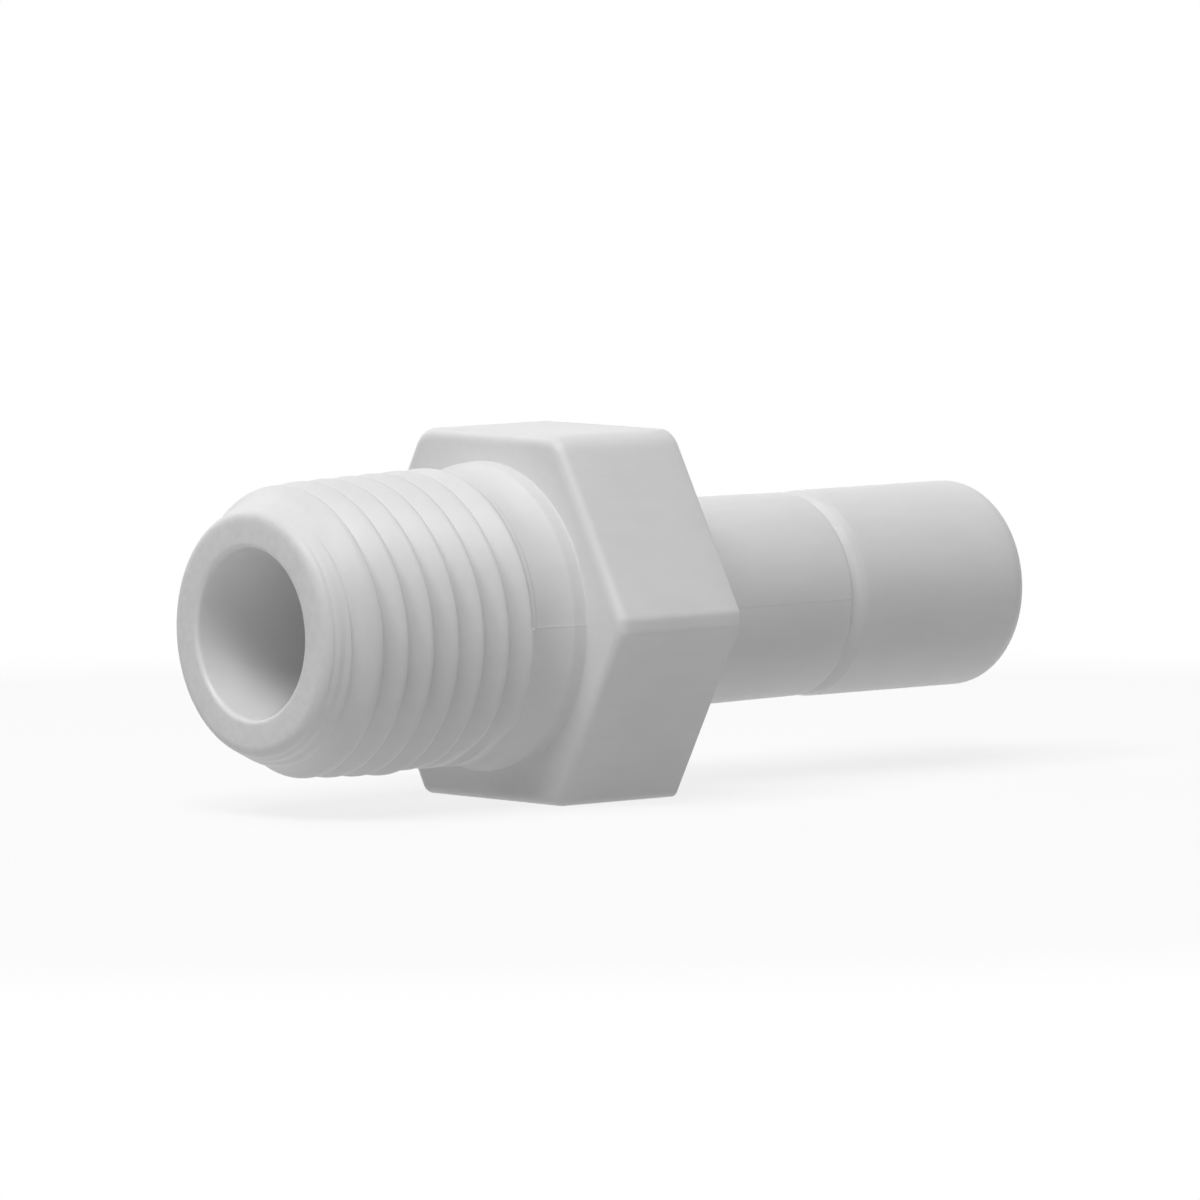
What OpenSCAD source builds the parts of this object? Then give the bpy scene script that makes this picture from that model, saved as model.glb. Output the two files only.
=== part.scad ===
// Male thread adapter, moulded in one piece: a male taper pipe thread, a hexagon and a plain round stem.
// The flow axis is X. The thread points to -X and the stem to +X, and two flats of the hexagon are level.
// The origin is on the flow axis, where the hexagon's thread-side face would cross it.

/* [Thread] */
// Threads to the inch
thread_per_inch = 18; // [16:1:20]
// Crest diameter the thread would have at the end face
thread_end_d = 13.17; // [12.9:0.01:13.4]
// Taper of the thread: growth in diameter for each unit of length
thread_taper = 0.0625; // [0:0.0025:0.07]
// Depth of the thread from crest to root
thread_depth = 0.85; // [0.6:0.05:0.95]
// Width of the flat crest
crest_w = 0.13; // [0.08:0.01:0.2]
// Length from the end face to the hexagon
nose_len = 13.8; // [12.5:0.1:16]
// Diameter of the flat end face
end_face_d = 10; // [9.4:0.1:10.6]
// Radius of the end face's rounded outer edge
end_edge_r = 0.75; // [0.4:0.05:0.9]
// Angle of the lead-in cone to the axis
lead_angle = 23; // [18:1:30]
// Length over which the last crest falls away beside the neck
runout_len = 0.5; // [0.4:0.1:0.8]

/* [Neck] */
// Diameter of the plain neck between the thread and the hexagon
neck_d = 13.26; // [12.8:0.01:13.4]
// Length of the plain neck, its fillet included
neck_len = 2.5; // [2.2:0.1:3.5]
// Radius of the concave fillet between the neck and its seat
neck_fillet_r = 1; // [0.6:0.05:1.2]
// Diameter of the round seat where the fillet ends
seat_d = 14.1; // [13.9:0.05:14.6]
// Height of the round seat that stands proud of the hexagon's face
seat_h = 0.18; // [0.05:0.01:0.3]

/* [Hexagon] */
// Width across the flats
hex_af = 16.75; // [16.2:0.05:18]
// Length of the hexagon along the axis
hex_len = 7; // [5:0.1:9]
// Radius of the long corners next to the two level flats
corner_r = 1.4; // [0.8:0.1:1.8]
// Radius of the two long side corners, which lie on the parting plane
side_corner_r = 1.2; // [0.8:0.1:1.8]
// Radius of the edge round the thread-side face
front_edge_r = 0.5; // [0.2:0.05:0.6]
// Radius of the edge round the stem-side face
rear_edge_r = 0.25; // [0.1:0.05:0.6]

/* [Stem] */
// Diameter of the stem's gauged end portion, which the seal and the grip take
stem_d = 9.525; // [9.4:0.005:9.6]
// Length of the stem from the hexagon to its end
stem_len = 21.9; // [20:0.1:25]
// Length of the root portion between the hexagon and the shoulder
root_len = 11.2; // [8:0.1:12]
// Diameter of the root portion at the hexagon
root_d = 9.7; // [9.6:0.01:10]
// Diameter of the root portion at the foot of the shoulder
waist_d = 9.43; // [9.2:0.01:9.5]
// Length of the shoulder's ramp
shoulder_len = 0.35; // [0.2:0.05:0.8]
// Radius of the stem's rounded end
stem_end_r = 1.2; // [0.6:0.1:1.3]

/* [Flow passage] */
// Diameter of the passage through the thread
thread_bore_d = 7.7; // [7:0.1:8]
// Diameter of the passage through the stem
stem_bore_d = 6.4; // [5.8:0.1:6.6]
// Depth of the wider passage from the end face
thread_bore_len = 16.8; // [14:0.1:20]
// Half angle of the cone between the two passages
step_angle = 45; // [30:5:60]
// Radius of the passage's rounded mouth at the thread end
mouth_r = 0.25; // [0.1:0.05:0.4]
// Chamfer of the passage's mouth at the stem end
stem_mouth_chamfer = 0.3; // [0.1:0.05:0.4]

/* [Hidden] */
body_color = "#f2f2f0";
// Columns in one turn of the thread, and steps in each small rounding of a computed shape
columns = 60;
arc_steps = 4;
round_fn = 72;
fillet_fn = 32;
// How far joined solids run into each other, and cuts run past the faces they open
overlap = 0.4;
cut_past = 1;

thread_pitch = 25.4 / thread_per_inch;
thread_end_r = thread_end_d / 2;
half_taper = thread_taper / 2;
flank_w = thread_depth * tan(30);
thread_len = nose_len - neck_len;
end_face_r = end_face_d / 2;
neck_r = neck_d / 2;
seat_r = seat_d / 2;
fillet_rise = seat_r - neck_r;
fillet_x = -seat_h - sqrt(neck_fillet_r ^ 2 - (neck_fillet_r - fillet_rise) ^ 2);
hex_r = hex_af / 2;
corner_reach = hex_af / sqrt(3);
stem_r = stem_d / 2;
stem_end_x = hex_len + stem_len;
shoulder_x = hex_len + root_len;
thread_bore_r = thread_bore_d / 2;
stem_bore_r = stem_bore_d / 2;
thread_bore_x = thread_bore_len - nose_len;
step_len = (thread_bore_r - stem_bore_r) / tan(step_angle);

// The thread's section over one pitch, as distances along the axis and shares of the depth below the crest.
// The first two rows are the crest, then come the far flank's foot, the root, and the near flank, which is hollow.
profile_x = [0, crest_w, crest_w + 0.9 * flank_w, thread_pitch - 1.55 * flank_w,
             thread_pitch - 0.95 * flank_w, thread_pitch - 0.4 * flank_w];
profile_share = [0, 0, 0.9, 1, 0.82, 0.36];
rows_a_pitch = len(profile_x);

// Row k of the helix belongs to turn floor(k / rows_a_pitch) and lies at this distance from the end face on column i.
function turn_of(k) = floor(k / rows_a_pitch);
function row_in_turn(k) = k - rows_a_pitch * turn_of(k);
function row_s(k, i) = profile_x[row_in_turn(k)] + thread_pitch * (turn_of(k) - 1 + i / columns);

// The lead-in cone, which starts where the rounded edge of the end face turns into it.
lead_s = end_edge_r * (1 - sin(lead_angle));
lead_start_r = end_face_r + end_edge_r * cos(lead_angle);
function lead_r(s) = lead_start_r + (s - lead_s) * tan(lead_angle);

// The groove runs on under the neck, which closes it, and the last crest sinks below the neck's surface.
crest_end_s = thread_len - 0.15;
helix_end_s = crest_end_s + runout_len;
function sink(s) = min(1, max(0, (s - crest_end_s) / runout_len));
function full_r(s) = thread_end_r + half_taper * s;
function crest_r(s) = full_r(s) - sink(s) * (full_r(s) - neck_r + 0.12);
function helix_r(k, s) =
    min(lead_r(s), crest_r(s), full_r(s) - profile_share[row_in_turn(k)] * thread_depth);

// The threaded end as one computed solid: a right-hand helix on a taper, cut off by the lead-in cone.
module threaded_end() {
    edge_turn = 90 - lead_angle;
    edge_rows = [for (j = [0:arc_steps]) let (a = edge_turn * j / arc_steps)
        [end_edge_r * (1 - cos(a)), end_face_r + end_edge_r * sin(a), -1]];
    first = len(edge_rows);
    helix_from = lead_s + 0.1;
    last_row = [helix_end_s + 0.1, full_r(helix_end_s) - thread_depth, -1];
    row_count = rows_a_pitch * (floor(helix_end_s / thread_pitch) + 2);

    // Each column is a list of [distance, radius, helix row], from the end face to the neck.
    grid = [for (i = [0:columns - 1]) concat(
        edge_rows,
        [for (k = [0:row_count]) let (s = row_s(k, i)) if (s > helix_from && s < helix_end_s) [s, helix_r(k, s), k]],
        [last_row])];
    sizes = [for (column = grid) len(column)];
    starts = [for (i = 0, sum = 0; i < columns; sum = sum + sizes[i], i = i + 1) sum];
    vertices = [for (i = [0:columns - 1]) let (a = 360 * i / columns) for (p = grid[i])
        [p[0] - nose_len, p[1] * cos(a), p[1] * sin(a)]];

    // Faces between column i and the next. Where the last column meets the first, the rows count one turn lower.
    function strip(i) =
        let (n = (i + 1) % columns, turn = n == 0 ? rows_a_pitch : 0,
             a_first = grid[i][first][2], a_last = grid[i][sizes[i] - 2][2],
             b_first = grid[n][first][2] - turn, b_last = grid[n][sizes[n] - 2][2] - turn,
             low = max(a_first, b_first), high = min(a_last, b_last),
             a = starts[i] + first - a_first, b = starts[n] + first - b_first)
        concat(
            [for (j = [0:first - 2]) [starts[i] + j, starts[i] + j + 1, starts[n] + j + 1, starts[n] + j]],
            [concat([starts[i] + first - 1], [for (k = [a_first:low]) a + k],
                    [for (k = [low:-1:b_first]) b + k], [starts[n] + first - 1])],
            [for (k = [low:high - 1]) each [[a + k, a + k + 1, b + k], [a + k + 1, b + k + 1, b + k]]],
            [concat([for (k = [high:a_last]) a + k], [starts[i] + sizes[i] - 1, starts[n] + sizes[n] - 1],
                    [for (k = [b_last:-1:high]) b + k])]);
    end_face = [for (i = [0:columns - 1]) starts[i]];
    neck_face = [for (i = [columns - 1:-1:0]) starts[i] + sizes[i] - 1];
    strips = [for (i = [0:columns - 1]) each strip(i)];
    polyhedron(points = vertices, faces = concat(strips, [end_face, neck_face]), convexity = 12);
}

// Turns a half section drawn as [radius, distance along the axis] about the flow axis.
module turned() rotate([0, 90, 0]) rotate_extrude($fn = round_fn) children();

// The plain neck with its concave fillet and the round seat that it stands on.
module neck() turned() difference() {
    polygon([[0, -neck_len], [neck_r, -neck_len], [neck_r, fillet_x],
             [seat_r, fillet_x], [seat_r, overlap], [0, overlap]]);
    translate([neck_r + neck_fillet_r, fillet_x]) circle(r = neck_fillet_r, $fn = fillet_fn);
}

// Points round the hexagon's outline, drawn in by an inset, with the six corners rounded.
function hex_outline(inset) = [for (c = [0:5]) let (
        r = (c % 3 == 0 ? side_corner_r : corner_r) - inset, reach = corner_reach - (inset + r) * 2 / sqrt(3))
    for (j = [-arc_steps:arc_steps]) let (a = 60 * c + 30 * j / arc_steps)
        [reach * cos(60 * c) + r * cos(a), reach * sin(60 * c) + r * sin(a)]];

module hex_slab(x, thickness, inset)
    translate([x, 0, 0]) rotate([90, 0, 90]) linear_extrude(thickness) polygon(hex_outline(inset));

// The hexagon: straight sides between two rounded rims.
module hexagon() hull() {
    for (j = [0:arc_steps]) let (a = 90 * j / arc_steps) {
        hex_slab(front_edge_r * (1 - cos(a)), 0.01, front_edge_r * (1 - sin(a)));
        hex_slab(hex_len - rear_edge_r * (1 - cos(a)) - 0.01, 0.01, rear_edge_r * (1 - sin(a)));
    }
}

// The stem: a root portion that narrows a little, a low shoulder, and the gauged portion with its rounded end.
module stem() turned() union() {
    polygon([[0, hex_len - overlap], [root_d / 2, hex_len - overlap], [root_d / 2, hex_len],
             [waist_d / 2, shoulder_x], [stem_r, shoulder_x + shoulder_len],
             [stem_r, stem_end_x - stem_end_r], [stem_r - stem_end_r, stem_end_x], [0, stem_end_x]]);
    intersection() {
        translate([stem_r - stem_end_r, stem_end_x - stem_end_r]) circle(r = stem_end_r, $fn = fillet_fn);
        translate([0, stem_end_x - stem_end_r]) square([stem_r, stem_end_r]);
    }
}

// The flow passage: the wide bore through the thread, a short cone, and the narrower bore through the stem.
module passage() {
    turned() polygon([
        [0, -nose_len - cut_past], [thread_bore_r, -nose_len - cut_past], [thread_bore_r, thread_bore_x],
        [stem_bore_r, thread_bore_x + step_len], [stem_bore_r, stem_end_x - stem_mouth_chamfer],
        [stem_bore_r + stem_mouth_chamfer + cut_past, stem_end_x + cut_past], [0, stem_end_x + cut_past]]);
    // The rounded mouth at the thread end
    turned() difference() {
        translate([0, -nose_len - cut_past]) square([thread_bore_r + mouth_r, cut_past + mouth_r]);
        translate([thread_bore_r + mouth_r, -nose_len + mouth_r]) circle(r = mouth_r, $fn = fillet_fn);
    }
}

module adapter_body() color(body_color) difference() {
    union() {
        threaded_end();
        neck();
        hexagon();
        stem();
    }
    passage();
}

adapter_body();
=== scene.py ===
import math

import bmesh
import bpy
import numpy as np
from mathutils import Matrix, Vector


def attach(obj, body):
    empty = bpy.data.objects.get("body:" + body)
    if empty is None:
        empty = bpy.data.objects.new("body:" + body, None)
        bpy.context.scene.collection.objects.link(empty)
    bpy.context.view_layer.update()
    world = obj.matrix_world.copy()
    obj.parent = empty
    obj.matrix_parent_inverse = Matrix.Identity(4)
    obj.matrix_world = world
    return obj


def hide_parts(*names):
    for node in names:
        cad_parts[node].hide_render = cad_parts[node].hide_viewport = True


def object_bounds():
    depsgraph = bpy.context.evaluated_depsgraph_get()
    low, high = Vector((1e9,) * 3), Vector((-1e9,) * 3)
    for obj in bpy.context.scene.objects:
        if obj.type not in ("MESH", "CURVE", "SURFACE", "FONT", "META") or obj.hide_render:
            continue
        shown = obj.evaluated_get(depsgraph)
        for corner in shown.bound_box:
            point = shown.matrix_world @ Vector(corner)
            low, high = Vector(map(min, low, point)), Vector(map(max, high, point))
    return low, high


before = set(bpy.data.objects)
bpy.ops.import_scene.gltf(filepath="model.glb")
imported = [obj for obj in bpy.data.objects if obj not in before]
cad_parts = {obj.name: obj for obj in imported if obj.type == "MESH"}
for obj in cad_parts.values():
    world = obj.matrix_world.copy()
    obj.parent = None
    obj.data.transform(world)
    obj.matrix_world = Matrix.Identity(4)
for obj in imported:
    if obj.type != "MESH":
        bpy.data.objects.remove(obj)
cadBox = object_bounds()
print("frame loaded, its box in mm:", [[round(c * 1000, 2) for c in corner] for corner in cadBox])

mm = 0.001

# The adapter is one moulding, so it is one mesh: closed loops round the flow axis, skinned one after another.
# Sizes are in mm and angles in degrees, with x along the flow axis from the hexagon's thread-side face.
# Loops that stand close beside an edge only keep its shading narrow.

columnSpec = {
    "cornerSpan": 5.6,        # to each side of a corner of the hexagon
    "cornerSteps": 14,
    "flatSteps": 26,          # from one corner's span to the next
    "seamSides": (-0.3, 0.3),
    "tightSteps": (-1.2, -0.4, 0.4, 1.2),   # more columns where the corners are tight
}


def columnAngles():
    # the parting plane passes through the columns at 0 and 180 degrees
    c = columnSpec
    span = c["cornerSpan"]
    corner = [-span + 2 * span * j / c["cornerSteps"] for j in range(c["cornerSteps"] + 1)]
    flat = [span + (60 - 2 * span) * j / c["flatSteps"] for j in range(1, c["flatSteps"])]
    angles = [60 * k + a for k in range(6) for a in corner + flat]
    angles += [side + a for side in (0, 180) for a in c["seamSides"]]
    angles += [tight + a for tight in (240, 300) for a in c["tightSteps"]]
    return np.radians(np.array(sorted(a % 360 for a in angles)))


columns = columnAngles()
columnCount = len(columns)
cosines = np.cos(columns)
sines = np.sin(columns)
atSeam = np.isclose(np.abs(sines), 0, atol=1e-6)            # the columns on the parting plane
lowerHalf = ~atSeam & (sines < 0)
under = np.degrees(columns) - 180                           # lower half: 90 at the bottom, 180 at the far side
underside = np.clip(0.5 - 1.6 * sines, 0, 1)                # 1 on the underside, 0 above
wrapShift = {}                                              # rows that meet the first column further along


def ring(x, radius):
    radius = np.broadcast_to(np.asarray(radius, float), (columnCount,))
    xs = np.broadcast_to(np.asarray(x, float), (columnCount,))
    return np.stack([xs, radius * cosines, radius * sines], 1)


def rings(points):
    return [ring(x, r) for x, r in points]


def smooth(value, low, high):
    # 0 below low, 1 above high
    f = np.clip((value - low) / (high - low), 0, 1)
    return f * f * (3 - 2 * f)


def softening(gap, width):
    # what a soft minimum takes off where its two surfaces come closer than the width
    near = np.clip(1 - np.abs(gap) / width, 0, 1)
    return 0.25 * width * near * near


def arcPoints(centerX, centerR, radius, fromDeg, toDeg, steps):
    # a turn of the section, as (x, r): 0 degrees points to +x and 90 outward
    turn = [math.radians(fromDeg + (toDeg - fromDeg) * j / steps) for j in range(steps + 1)]
    return [(centerX + radius * math.cos(a), centerR + radius * math.sin(a)) for a in turn]


threadSpec = {
    "pitch": 25.4 / 18,
    "lastTurn": 7,
    "turnStart": 0.081,       # turns by which the helix is shifted
    "endX": -13.8,            # the flat end face
    "crestRadius": 6.585,     # at the end face
    "taper": 1 / 32,          # growth in radius for each mm
    "depth": 0.85,
    "crestWidth": 0.125,
    "seam": 0.006,            # height of the line where the mould halves met
    "faceRadius": 5.05,
    "faceLoop": 4.6,
    "edgeRadius": 0.6,        # roll from the end face to the lead-in cone
    "leadAngle": 24,
    "plainRows": (0.40, 1.00, 15),   # from the end face: plain loops from here to there, and how many
    # the nose: distance from the end face, radius that nothing stands above
    "nose": [(0.356, 5.598), (0.60, 5.716), (0.80, 5.808), (1.25, 6.015), (1.45, 6.150), (1.65, 6.340),
             (1.80, 6.465), (2.00, 6.560), (2.30, 6.622), (2.70, 6.662), (3.20, 6.700), (15.0, 7.100)],
    # soft rings round it: distance from the end face, width, height, and the height on the underside
    "noseRings": [(0.44, 0.13, -0.020, -0.045), (0.62, 0.12, 0.000, 0.014), (0.87, 0.15, -0.006, -0.046),
                  (1.08, 0.14, 0.012, 0.020), (1.42, 0.13, -0.012, -0.030)],
    "blend": 0.10,            # softness where the cone cuts the crests
    "shallowUntil": (1.5, 2.5),    # the first groove fills in towards the nose: distances from the end face
    "shallowShare": (0.25, 0.75),  # what is left of its depth there, above and below
    # how the thread ends
    "ridgeX": -2.86,          # the ridge that ends the groove in the upper mould half
    "ridgeShare": 0.34,       # its height, as a share of the crest's above the neck
    "ridgeFade": 0.30,        # the length over which the crest sinks to it
    "lowerEndX": -2.66,       # as far as the last crest gets in the lower half
    "farFade": (110, 170),    # where the lower half's end runs over into the ridge
    "endFill": 1.6,           # how fast the last groove of the upper half gets shallow
    "dropLength": 0.20,       # from the last crest down to the neck
    "softDrop": 0.41,         # the same round the underside, where it is drawn out
    "softFade": (10, 40),
    "flatFrom": -7.0,         # from here on the crests are low round the bottom
    "flatSpread": (60, 1.5),  # half width that the low part grows to, and over how many mm
    "flatFade": 25,
    "flatHeight": 0.012,      # of the crests above the neck there
    # groove section over one pitch: distance from the crest's near edge, share of the depth
    "section": [(0.000, 0.012), (0.020, 0.002), (0.105, 0.002), (0.125, 0.035), (0.185, 0.330), (0.250, 0.640),
                (0.310, 0.880), (0.350, 0.980), (0.395, 1.000), (0.460, 0.945), (0.570, 0.830), (0.730, 0.665),
                (0.900, 0.490), (1.070, 0.315), (1.220, 0.165), (1.340, 0.055)],
    # the way down from the last crest: share of the drop's length, share of its height
    "drop": [(0.05, 0.02), (0.14, 0.12), (0.30, 0.33), (0.50, 0.60), (0.68, 0.83), (0.82, 0.95), (0.92, 0.99),
             (1.00, 1.00)],
}
neckSpec = {
    "radius": 6.63,
    "seam": 0.02,
    # from the neck to the hexagon's face: place along x, and height above the neck
    "flare": [(-2.05, 0.000), (-1.90, 0.006), (-1.75, 0.020), (-1.60, 0.042), (-1.45, 0.073), (-1.30, 0.113),
              (-1.17, 0.155), (-1.05, 0.202), (-0.95, 0.246), (-0.87, 0.284), (-0.80, 0.320), (-0.75, 0.345),
              (-0.71, 0.362), (-0.67, 0.374), (-0.62, 0.382), (-0.55, 0.388), (-0.30, 0.398), (-0.10, 0.405),
              (-0.05, 0.411), (-0.025, 0.422), (-0.009, 0.438), (0.000, 0.462)],
}
passageSpec = {
    "threadRadius": 3.85,
    "threadDepth": 16.8,
    "stemRadius": 3.2,
    "stepLength": 0.65,
    "mouthRadius": 0.25,
    "stemChamfer": 0.3,
    "edgeLoop": 0.1,          # distance of the loops beside the passage's edges
}


def noseRows():
    # inside the passage, round its mouth, over the end face and down the roll to the lead-in cone
    t, p = threadSpec, passageSpec
    endX, mouth, roll = t["endX"], p["mouthRadius"], t["edgeRadius"]
    lip = p["threadRadius"] + mouth
    rows = rings([(endX + 2.0, p["threadRadius"]), (endX + mouth + p["edgeLoop"], p["threadRadius"])])
    rows += rings(arcPoints(endX + mouth, lip, mouth, 270, 180, 7))
    rows += rings([(endX, lip + 0.06), (endX, t["faceLoop"]), (endX, t["faceRadius"] - 0.06)])
    rows += rings(arcPoints(endX + roll, t["faceRadius"], roll, 180, 90 + t["leadAngle"], 10))
    return rows


def threadRows(firstRow):
    # s is the distance from the end face, u the distance from a crest's near edge
    t, n = threadSpec, neckSpec
    pitch, width, endX = t["pitch"], t["crestWidth"], t["endX"]
    section, lastTurn = t["section"], t["lastTurn"]
    plainFrom, helixFrom, plainCount = t["plainRows"]
    noseS, noseR = (np.array(c) for c in zip(*t["nose"]))
    sectionU = np.array([u for u, share in section] + [pitch])
    sectionShare = np.array([share for u, share in section] + [section[0][1]])
    crest = [point for point in section if point[0] <= width]
    turns = columns / (2 * math.pi) + t["turnStart"]
    farSide = np.where(lowerHalf, smooth(under, *t["farFade"]), 0)
    lowerEnd = t["lowerEndX"] + (t["ridgeX"] - t["lowerEndX"]) * farSide
    endS = np.where(lowerHalf, np.minimum(pitch * (lastTurn + turns), lowerEnd - endX), t["ridgeX"] - endX)

    def shareAt(s):
        return np.interp(np.mod(s / pitch - turns, 1) * pitch, sectionU, sectionShare)

    def surface(s, share):
        # the thread, cut off by the nose
        nose = np.interp(s, noseS, noseR)
        for place, spread, above, below in t["noseRings"]:
            nose = nose + (above + (below - above) * underside) * np.exp(-((s - place) / spread) ** 2)
        thread = t["crestRadius"] + t["taper"] * s - share * t["depth"]
        above, below = t["shallowShare"]
        least = above + (below - above) * underside
        keep = least + (1 - least) * smooth(s, *t["shallowUntil"])
        seam = np.where(atSeam, t["seam"], 0)
        return nose - keep * np.maximum(nose - thread, 0) - softening(nose - thread, t["blend"]) + seam

    def sunk(s, radius):
        # round the bottom the last crests sink to the neck
        most, over = t["flatSpread"]
        reach = most * (1 - np.exp(-np.maximum(s + endX - t["flatFrom"], 0) / over))
        fade = np.where(lowerHalf, smooth(reach - np.abs(under - 90), 0, t["flatFade"]), 0)
        return radius - fade * np.maximum(radius - n["radius"] - t["flatHeight"], 0)

    def lowRidge(s, radius):
        # the upper half's closing ridge stands lower than the crests
        near = np.where(lowerHalf, farSide, 1) * smooth(s - endS, -t["ridgeFade"], 0) * (1 - t["ridgeShare"])
        return radius - near * np.maximum(radius - n["radius"], 0)

    def finished(s, share):
        return lowRidge(s, sunk(s, surface(s, share)))

    rows = []
    for s in np.linspace(plainFrom, helixFrom, plainCount):
        rows.append(ring(s + endX, surface(s, shareAt(s))))
    for turn in range(-1, lastTurn + 1):
        base = pitch * (turn + turns)
        closing = np.where(lowerHalf, turn == lastTurn - 1, turn == lastTurn)   # the groove that is cut short
        over = lowerHalf & (turn == lastTurn)
        squeeze = np.where(closing, (endS - base - width) / (pitch - width), 1)
        filled = np.where(lowerHalf, squeeze, squeeze ** t["endFill"])
        for u, share in section:
            s = base + (u if u <= width else width + (u - width) * squeeze)
            shares = share * np.where(closing & (u > width), filled, 1)
            early = s < helixFrom
            s = np.where(early, helixFrom, np.where(over, endS, s))
            shares = np.where(early, shareAt(s), np.where(over, crest[0][1], shares))
            wrapShift[firstRow + len(rows)] = len(section)
            rows.append(ring(s + endX, finished(s, shares)))
    last = firstRow + len(rows)
    for number in wrapShift:
        wrapShift[number] = min(wrapShift[number], last - number)

    # over the last crest and down to the neck
    for u, share in crest:
        rows.append(ring(endS + u + endX, finished(endS + u, share)))
    soft = np.where(lowerHalf, smooth(under, *t["softFade"]), 0)
    length = t["dropLength"] + soft * (t["softDrop"] - t["dropLength"])
    top = finished(endS + width, crest[-1][1])
    foot = n["radius"] + np.where(atSeam, n["seam"], 0)
    for along, lowered in t["drop"]:
        rows.append(ring(endS + width + along * length + endX, top + (foot - top) * lowered))
    return rows


def neckRows():
    n = neckSpec
    return [ring(x, n["radius"] + lift + np.where(atSeam, n["seam"] * (1 - lift), 0)) for x, lift in n["flare"]]


hexSpec = {
    "acrossFlats": 16.75,
    "length": 7.0,
    "sideFlat": 9.475,        # the two side corners are cut to a narrow flat, this far out
    "sideSoftness": 0.05,
    "cornerRadius": 1.4,
    "lowerCornerRadius": 0.5,
    "leastRadius": 0.02,
    "frontEdge": 0.5,
    "rearEdge": 0.08,
    "edgeLoops": (0.02, 0.14),   # distances of the loops beside its edges
}


def hexRow(x, inset):
    # the hexagon's outline drawn in by an inset, where each column's ray meets it
    h = hexSpec
    halfSide = math.radians(30)
    apothem = h["acrossFlats"] / 2 - inset
    radius = np.empty(columnCount)
    for i, angle in enumerate(np.degrees(columns)):
        corner = round(angle / 60)
        off = math.radians(angle - 60 * corner)
        flat = apothem / math.cos(halfSide - abs(off))
        if corner % 3 == 0:
            cut = (h["sideFlat"] - inset) / math.cos(off)
            radius[i] = min(flat, cut) - softening(flat - cut, h["sideSoftness"])
            continue
        full = h["lowerCornerRadius"] if corner in (4, 5) else h["cornerRadius"]
        small = max(full - inset, h["leastRadius"])
        center = (apothem - small) / math.cos(halfSide)
        reach = center * math.cos(off) + math.sqrt(max(small ** 2 - (center * math.sin(off)) ** 2, 0))
        tangent = math.atan2(small * math.sin(halfSide), center + small * math.cos(halfSide))
        radius[i] = reach if abs(off) < tangent else flat
    return ring(x, radius)


def hexRows():
    h = hexSpec
    front, rear, length = h["frontEdge"], h["rearEdge"], h["length"]
    close, wide = h["edgeLoops"]
    rows = [hexRow(0, front + wide), hexRow(0, front + close)]
    for a in np.radians(np.linspace(0, 90, 9)):
        rows.append(hexRow(front * (1 - math.cos(a)), front * (1 - math.sin(a))))
    for x in (front + close, front + wide, length / 2, length - rear - wide, length - rear - close):
        rows.append(hexRow(x, 0))
    for a in np.radians(np.linspace(0, 90, 7)):
        rows.append(hexRow(length - rear * (1 - math.sin(a)), rear * (1 - math.cos(a))))
    rows += [hexRow(length, rear + close), hexRow(length, rear + wide)]
    return rows


stemSpec = {
    "rootRadius": 4.85,
    "waistRadius": 4.715,
    "gaugeRadius": 4.7625,
    "footFillet": 0.2,
    "seamDepth": 0.020,
    "mismatch": 0.014,        # the lower mould half is this much smaller on the root portion
    "shoulderX": 17.76,
    "grooveRadius": 4.50,
    # into the groove: along x, share of its depth
    "groove": [(0.00, 0.02), (0.06, 0.10), (0.12, 0.25), (0.17, 0.46), (0.20, 0.75), (0.23, 0.94),
               (0.26, 1.00)],
    "shoulderLength": 0.74,
    # the way up from the groove: share of that length, share of the height
    "shoulder": [(0.03, 0.035), (0.15, 0.210), (0.30, 0.420), (0.42, 0.590), (0.50, 0.690), (0.58, 0.755),
                 (0.72, 0.845), (0.86, 0.930), (0.95, 0.980), (1.00, 1.000)],
    "endX": 28.9,
    "endRadius": 1.2,
}


def stemRows():
    s, p = stemSpec, passageSpec
    face, foot, shoulderX = hexSpec["length"], s["footFillet"], s["shoulderX"]
    mismatch = np.where(atSeam, -s["seamDepth"], np.where(lowerHalf, -s["mismatch"], 0))

    # the fillet at the hexagon, and the root portion that narrows to the waist
    rows = rings([(face, s["rootRadius"] + foot + 0.6), (face, s["rootRadius"] + foot + 0.04)])
    rows += rings(arcPoints(face + foot, s["rootRadius"] + foot + mismatch, foot, 180, 270, 5))
    for f in np.arange(1, 6) / 6:
        rows.append(ring(face + foot + (shoulderX - face - foot) * f,
                         s["rootRadius"] + (s["waistRadius"] - s["rootRadius"]) * f + mismatch))
    waist = s["waistRadius"] + mismatch
    rows += rings([(shoulderX - 0.12, waist), (shoulderX - 0.02, waist)])

    # the groove, the shoulder and the gauged portion
    for along, share in s["groove"]:
        rows.append(ring(shoulderX + along, waist + (s["grooveRadius"] - waist) * share))
    grooveEnd = shoulderX + s["groove"][-1][0]
    rise = s["gaugeRadius"] - s["grooveRadius"]
    for along, share in s["shoulder"]:
        rows.append(ring(grooveEnd + along * s["shoulderLength"], s["grooveRadius"] + rise * share))
    gaugeFrom = grooveEnd + s["shoulderLength"]
    gaugeTo = s["endX"] - s["endRadius"]
    for f in (0.02, 0.3, 0.6, 0.9, 0.985):
        rows.append(ring(gaugeFrom + (gaugeTo - gaugeFrom) * f, s["gaugeRadius"]))

    # the rounded end
    endR = s["gaugeRadius"] - s["endRadius"]
    rows += rings(arcPoints(gaugeTo, endR, s["endRadius"], 90, 0, 16))
    rows += rings([(s["endX"], endR - 0.03), (s["endX"], p["stemRadius"] + p["stemChamfer"])])
    return rows


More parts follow.
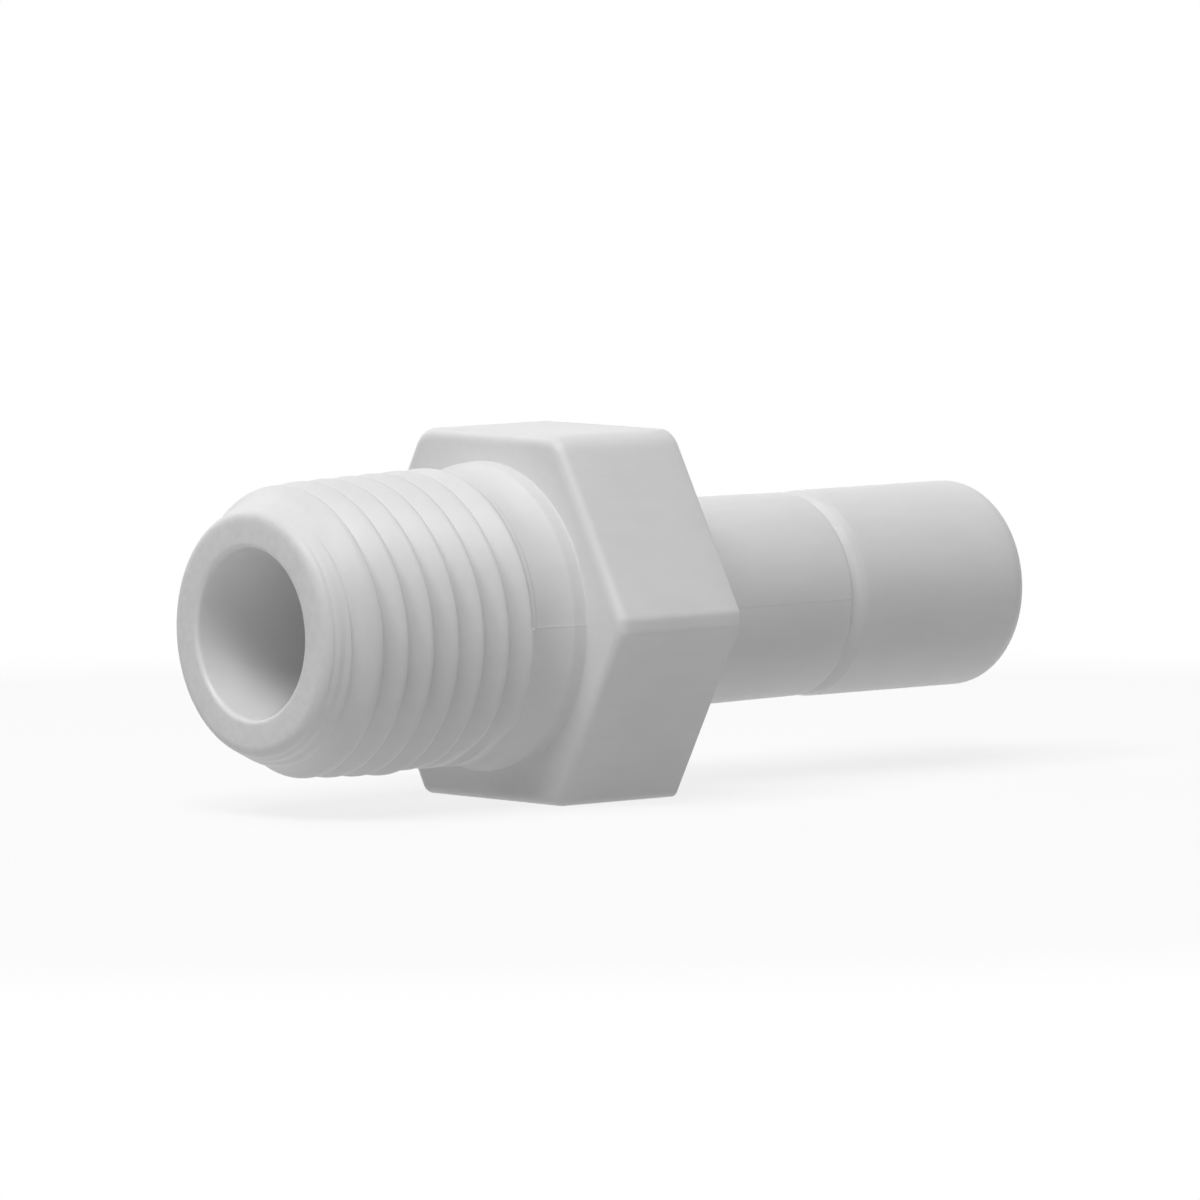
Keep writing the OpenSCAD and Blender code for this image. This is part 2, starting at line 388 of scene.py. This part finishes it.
def passageRows():
    # back through the stem, past the step, to the wider bore in the thread
    p = passageSpec
    gap = p["edgeLoop"]
    mouthX = stemSpec["endX"] - p["stemChamfer"]
    stepX = threadSpec["endX"] + p["threadDepth"]
    rows = rings([(x, p["stemRadius"]) for x in (mouthX, mouthX - gap, stepX + p["stepLength"] + gap,
                                                 stepX + p["stepLength"])])
    rows += rings([(x, p["threadRadius"]) for x in (stepX, stepX - gap)])
    return rows


def bodyRows():
    rows = noseRows()
    rows += threadRows(len(rows))
    return rows + neckRows() + hexRows() + stemRows() + passageRows()


meshSpec = {
    "weld": 0.002,            # loops that fall together are joined
    "sharpAngle": 32,
}


def skin(name, rows):
    grid = np.stack(rows)
    mesh = bpy.data.meshes.new(name)
    verts = (grid * mm).reshape(-1, 3)
    index = np.arange(len(verts)).reshape(len(rows), columnCount)
    beside = np.roll(index, -1, 1)
    for row, shift in wrapShift.items():                    # a helix comes round one turn further on
        beside[row, -1] = index[row + shift, 0]
    quads = np.stack([index, beside, np.roll(beside, -1, 0), np.roll(index, -1, 0)], -1).reshape(-1, 4)
    mesh.from_pydata(verts.tolist(), [], quads.tolist())
    obj = bpy.data.objects.new(name, mesh)
    bpy.context.scene.collection.objects.link(obj)

    work = bmesh.new()
    work.from_mesh(mesh)
    bmesh.ops.remove_doubles(work, verts=work.verts, dist=meshSpec["weld"] * mm)
    bmesh.ops.recalc_face_normals(work, faces=work.faces)
    loose = [v for v in work.verts if not v.link_faces]
    bmesh.ops.delete(work, geom=loose, context="VERTS")
    openEdges = sum(1 for e in work.edges if len(e.link_faces) != 2)
    print(name, "verts", len(work.verts), "faces", len(work.faces), "open edges", openEdges,
          "volume mm3", round(work.calc_volume() / mm ** 3, 1))
    work.to_mesh(mesh)
    work.free()
    mesh.shade_smooth()
    mesh.set_sharp_from_angle(angle=math.radians(meshSpec["sharpAngle"]))
    return obj


body = skin("adapterBody", bodyRows())
print("body skinned")


# Materials

class Sock:
    # a node's socket that takes arithmetic
    def __init__(self, graph, out):
        self.graph, self.out = graph, out

    def __add__(self, other):
        return self.graph.math("ADD", self, other)

    def __sub__(self, other):
        return self.graph.math("SUBTRACT", self, other)

    def __rsub__(self, other):
        return self.graph.math("SUBTRACT", other, self)

    def __mul__(self, other):
        return self.graph.math("MULTIPLY", self, other)

    __radd__ = __add__
    __rmul__ = __mul__


class Graph:
    def __init__(self, owner):
        owner.use_nodes = True
        self.tree = owner.node_tree
        self.tree.nodes.clear()

    def node(self, kind, settings=None, sockets=None, take=0):
        # the settings go first, because they decide which sockets there are
        made = self.tree.nodes.new(kind)
        for key, value in (settings or {}).items():
            setattr(made, key, value)
        for key, value in (sockets or {}).items():
            if isinstance(value, Sock):
                self.tree.links.new(value.out, made.inputs[key])
            else:
                made.inputs[key].default_value = value
        return Sock(self, made.outputs[take]) if len(made.outputs) else made

    def math(self, operation, *values):
        return self.node("ShaderNodeMath", {"operation": operation}, dict(enumerate(values)))

    def vector(self, operation, values, take=0):
        return self.node("ShaderNodeVectorMath", {"operation": operation}, values, take)

    def noise(self, place, scale, detail, roughness):
        return self.node("ShaderNodeTexNoise", {}, {"Vector": place, "Scale": scale, "Detail": detail,
                                                    "Roughness": roughness})

    def ramp(self, value, low, high):
        # 0 below low, 1 above high, smooth between
        return self.node("ShaderNodeMapRange", {"interpolation_type": "SMOOTHSTEP"},
                         {"Value": value, "From Min": low, "From Max": high})

    def between(self, value, inLow, inHigh, outLow, outHigh):
        # 1 in the middle, fading in over the first pair and out over the second
        return self.ramp(value, inLow, inHigh) * (1 - self.ramp(value, outLow, outHigh))

    def blend(self, factor, first, second):
        return self.node("ShaderNodeMix", {"data_type": "RGBA"}, {0: factor, 6: first, 7: second}, take=2)

    def seenAsBackground(self):
        # 1 for rays from the camera, and those that bring the background into gloss or glass
        path = self.tree.nodes.new("ShaderNodeLightPath")
        camera, glossy, through = (Sock(self, path.outputs[name]) for name in
                                   ("Is Camera Ray", "Is Glossy Ray", "Is Transmission Ray"))
        return self.math("MAXIMUM", self.math("MAXIMUM", camera, glossy), through)


finishSpec = {
    "pale": (0.875, 0.875, 0.872, 1),
    "deep": (0.840, 0.841, 0.841, 1),      # thicker spots in the cloudy variation
    "pitted": (0.79, 0.79, 0.79, 1),       # painted light: the passage's wall is coloured lighter than the rest, to lift its shade
    "passage": (0.95, 0.95, 0.948, 1),     # polished by the core pin
    "paintedShadeTone": (0.55, 0.55, 0.56, 1),     # painted shade along the crests' far edges, where the shadow behind them falls
    "paintedShadeShare": 0.5,
    "pitShare": 0.5,
    "roughness": 0.40,
    "faceRoughness": 0.12,                 # more of it on the end face
    "polish": 0.18,                        # less of it in the passage and at the stem's shoulder
    "ior": 1.48,
    "translucency": 0.25,
    "scatterDepth": 0.004,                 # metres
    # patterns: features to the mm, detail, roughness
    "clouds": (0.22, 3.0, 0.5),
    "streaks": (1.6, 3.0, 0.6),            # faint flow marks along the passage
    "peel": (1.3, 2.0, 0.5),
    "grain": (6.5, 2.0, 0.6),
    "blotches": (2.2, 3.0, 0.6),
    "streakStretch": (0.18, 1.0, 1.0),
    "toneRange": (0.36, 0.64),
    "pitRange": (0.42, 0.62),
    # bump heights in mm
    "peelHeight": 0.0016,
    "grainHeight": 0.0010,
    "faceGrainHeight": 0.0060,
    # where things are, in mm
    "endFace": (-13.76, -13.66),           # left grainy by the mould's pin plate
    "passageWall": (3.9, 4.1),             # distance from the axis
    "paintedShadeBand": (0.045, 0.085, 0.20, 0.34),     # across the thread from a crest's near edge, where the painted shade lies
    "paintedShadeRun": (-11.3, -10.7, -3.05, -2.95),    # along x
    # heights in z below which the painted shade fades out, so it lies on the upper half only
    "paintedShadeHeight": (-1.0, 1.5),
    "shoulderRun": (0.0, 0.2, 0.85, 1.1),       # along x from the stem's shoulder
}


def whitePlastic():
    f, t = finishSpec, threadSpec
    material = bpy.data.materials.new("whitePlastic")
    g = Graph(material)
    place = g.vector("SCALE", {0: g.node("ShaderNodeTexCoord", take="Object"), "Scale": 1000})
    x, y, z = (g.node("ShaderNodeSeparateXYZ", {}, {0: place}, take=axis) for axis in "XYZ")
    fromAxis = g.vector("LENGTH", {0: g.vector("MULTIPLY", {0: place, 1: (0, 1, 1)})}, take="Value")
    face = 1 - g.ramp(x, *f["endFace"])
    outer = g.ramp(fromAxis, *f["passageWall"])

    clouds, peel, grain, blotches = (g.noise(place, *f[name])
                                     for name in ("clouds", "peel", "grain", "blotches"))
    streaks = g.noise(g.vector("MULTIPLY", {0: place, 1: f["streakStretch"]}), *f["streaks"])

    # painted shade: a thin grey line along the far edge of each crest, standing in for the shadow behind it
    turn = g.math("ARCTAN2", z, y) * (1 / (2 * math.pi)) + t["turnStart"]
    across = g.math("FLOORED_MODULO", (x - t["endX"]) * (1 / t["pitch"]) - turn, 1.0) * t["pitch"]
    paintedCrestShade = g.between(across, *f["paintedShadeBand"]) * g.between(x, *f["paintedShadeRun"]) * g.ramp(z, *f["paintedShadeHeight"]) * outer

    tone = g.ramp(clouds * 0.55 + streaks * 0.30 + grain * 0.15, *f["toneRange"])
    color = g.blend(tone, f["deep"], f["pale"])
    color = g.blend(face * g.ramp(blotches, *f["pitRange"]) * f["pitShare"], color, f["pitted"])
    color = g.blend(paintedCrestShade * f["paintedShadeShare"], color, f["paintedShadeTone"])
    # painted light: the passage is made lighter to lift its shade
    color = g.blend(1 - outer, color, f["passage"])

    polished = 1 - outer + g.between(x - stemSpec["shoulderX"], *f["shoulderRun"])
    roughness = f["roughness"] + (peel - 0.5) * 0.10 + (streaks - 0.5) * 0.08
    roughness = roughness + face * f["faceRoughness"] - polished * f["polish"]

    grainHeight = f["grainHeight"] + face * (f["faceGrainHeight"] - f["grainHeight"])
    height = peel * f["peelHeight"] + grain * grainHeight
    bump = g.node("ShaderNodeBump", {}, {"Strength": 1.0, "Distance": mm, "Height": height})
    shader = g.node("ShaderNodeBsdfPrincipled", {}, {
        "Base Color": color, "Roughness": roughness, "Normal": bump, "IOR": f["ior"],
        "Subsurface Weight": f["translucency"], "Subsurface Scale": f["scatterDepth"],
        "Subsurface Radius": (1, 1, 1)})
    g.node("ShaderNodeOutputMaterial", {}, {"Surface": shader})
    return material


body.data.materials.append(whitePlastic())
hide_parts("adapter_body")
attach(body, "root")
print("white plastic on the body")


# Camera, fitted to the photograph's own edges, for a frame of 1200 by 1200

cameraSpec = {
    "azimuth": -39.873,
    "elevation": 4.477,
    "roll": -0.493,
    "distance": 599.9,
    "target": (6.648, 0.0, 0.365),
    "focalPixels": 13131.8,
    "framePixels": 1200,
    "sensor": 36,
    "clip": (0.01, 50),       # metres
}


def makeCamera():
    c = cameraSpec
    a, e, r = (math.radians(c[k]) for k in ("azimuth", "elevation", "roll"))
    back = Vector((math.sin(a) * math.cos(e), -math.cos(a) * math.cos(e), math.sin(e)))
    right = Vector((math.cos(a), math.sin(a), 0))
    up = back.cross(right)
    turnedRight = right * math.cos(r) + up * math.sin(r)
    turnedUp = up * math.cos(r) - right * math.sin(r)
    camera = bpy.data.objects.new("camera", bpy.data.cameras.new("camera"))
    bpy.context.scene.collection.objects.link(camera)
    spot = (Vector(c["target"]) + back * c["distance"]) * mm
    camera.matrix_world = Matrix.Translation(spot) @ Matrix((turnedRight, turnedUp, back)).transposed().to_4x4()
    camera.data.sensor_fit = "HORIZONTAL"
    camera.data.sensor_width = c["sensor"]
    camera.data.lens = c["sensor"] * c["focalPixels"] / c["framePixels"]
    camera.data.clip_start, camera.data.clip_end = c["clip"]
    bpy.context.scene.camera = camera


makeCamera()
print("camera set")


# Studio

studioSpec = {
    "world": 0.0,
    "white": (1, 1, 1, 1),
    "floorHalf": 6,           # metres
    "floorColor": (0.2, 0.2, 0.2, 1),
    "floorLight": 0.31,       # the table glows evenly, so the part's underside isn't lost
    "nearGlow": 0.80,         # how much of the floor that the camera sees is plain white, close to the part
    "fade": (0.02, 0.09),     # metres from the part over which it gets all white
    "aim": (7, 0, 0),         # mm, the point that the lamps face
    "lamps": [
        # name, place in m, size in m, watts
        ("overheadLamp", (0.0, 0.0, 0.8), 0.8, 2.35),
        ("keyLamp", (-0.54, 0.0, 0.72), 0.25, 1.65),
        ("leftLamp", (-0.35, -0.35, 0.75), 0.4, 2.60),
        ("endLamp", (-0.6, 0.0, 0.6), 0.6, 0.37),
        ("backLamp", (0.0, 0.7, 0.5), 0.5, 0.82),
        ("rightLamp", (0.75, -0.5, 0.3), 0.5, 0.35),
    ],
}


def paleFloor():
    s = studioSpec
    material = bpy.data.materials.new("paleFloor")
    g = Graph(material)
    seen = g.seenAsBackground()
    away = g.vector("LENGTH", {0: g.node("ShaderNodeTexCoord", take="Object")}, take="Value")
    bounce = g.node("ShaderNodeAddShader", {}, {
        0: g.node("ShaderNodeBsdfDiffuse", {}, {"Color": s["floorColor"]}),
        1: g.node("ShaderNodeEmission", {}, {"Color": s["white"], "Strength": s["floorLight"]})})
    white = g.node("ShaderNodeMixShader", {}, {
        0: g.math("MAXIMUM", g.ramp(away, *s["fade"]), s["nearGlow"]),
        1: g.node("ShaderNodeBsdfDiffuse", {}, {"Color": s["white"]}),
        2: g.node("ShaderNodeEmission", {}, {"Color": s["white"], "Strength": 1.0})})
    paper = g.node("ShaderNodeMixShader", {}, {0: seen, 1: bounce, 2: white})
    g.node("ShaderNodeOutputMaterial", {}, {"Surface": paper})
    return material


def makeStudio():
    s = studioSpec
    world = bpy.data.worlds.new("studioWorld")
    bpy.context.scene.world = world
    g = Graph(world)
    seen = g.seenAsBackground()
    lit = g.node("ShaderNodeBackground", {}, {"Color": s["white"], "Strength": s["world"]})
    shown = g.node("ShaderNodeBackground", {}, {"Color": s["white"], "Strength": 1.0})
    sky = g.node("ShaderNodeMixShader", {}, {0: seen, 1: lit, 2: shown})
    g.node("ShaderNodeOutputWorld", {}, {"Surface": sky})

    half, z = s["floorHalf"], cadBox[0][2]
    corners = [(-half, -half, z), (half, -half, z), (half, half, z), (-half, half, z)]
    mesh = bpy.data.meshes.new("floor")
    mesh.from_pydata(corners, [], [(0, 1, 2, 3)])
    floor = bpy.data.objects.new("floor", mesh)
    bpy.context.scene.collection.objects.link(floor)
    mesh.materials.append(paleFloor())

    aim = Vector(s["aim"]) * mm
    for name, place, size, watts in s["lamps"]:
        lamp = bpy.data.objects.new(name, bpy.data.lights.new(name, "AREA"))
        bpy.context.scene.collection.objects.link(lamp)
        lamp.data.size = size
        lamp.data.energy = watts
        lamp.location = place
        lamp.rotation_euler = (Vector(place) - aim).to_track_quat("Z", "Y").to_euler()


makeStudio()
bpy.context.scene.view_settings.view_transform = "Standard"
print("studio set")
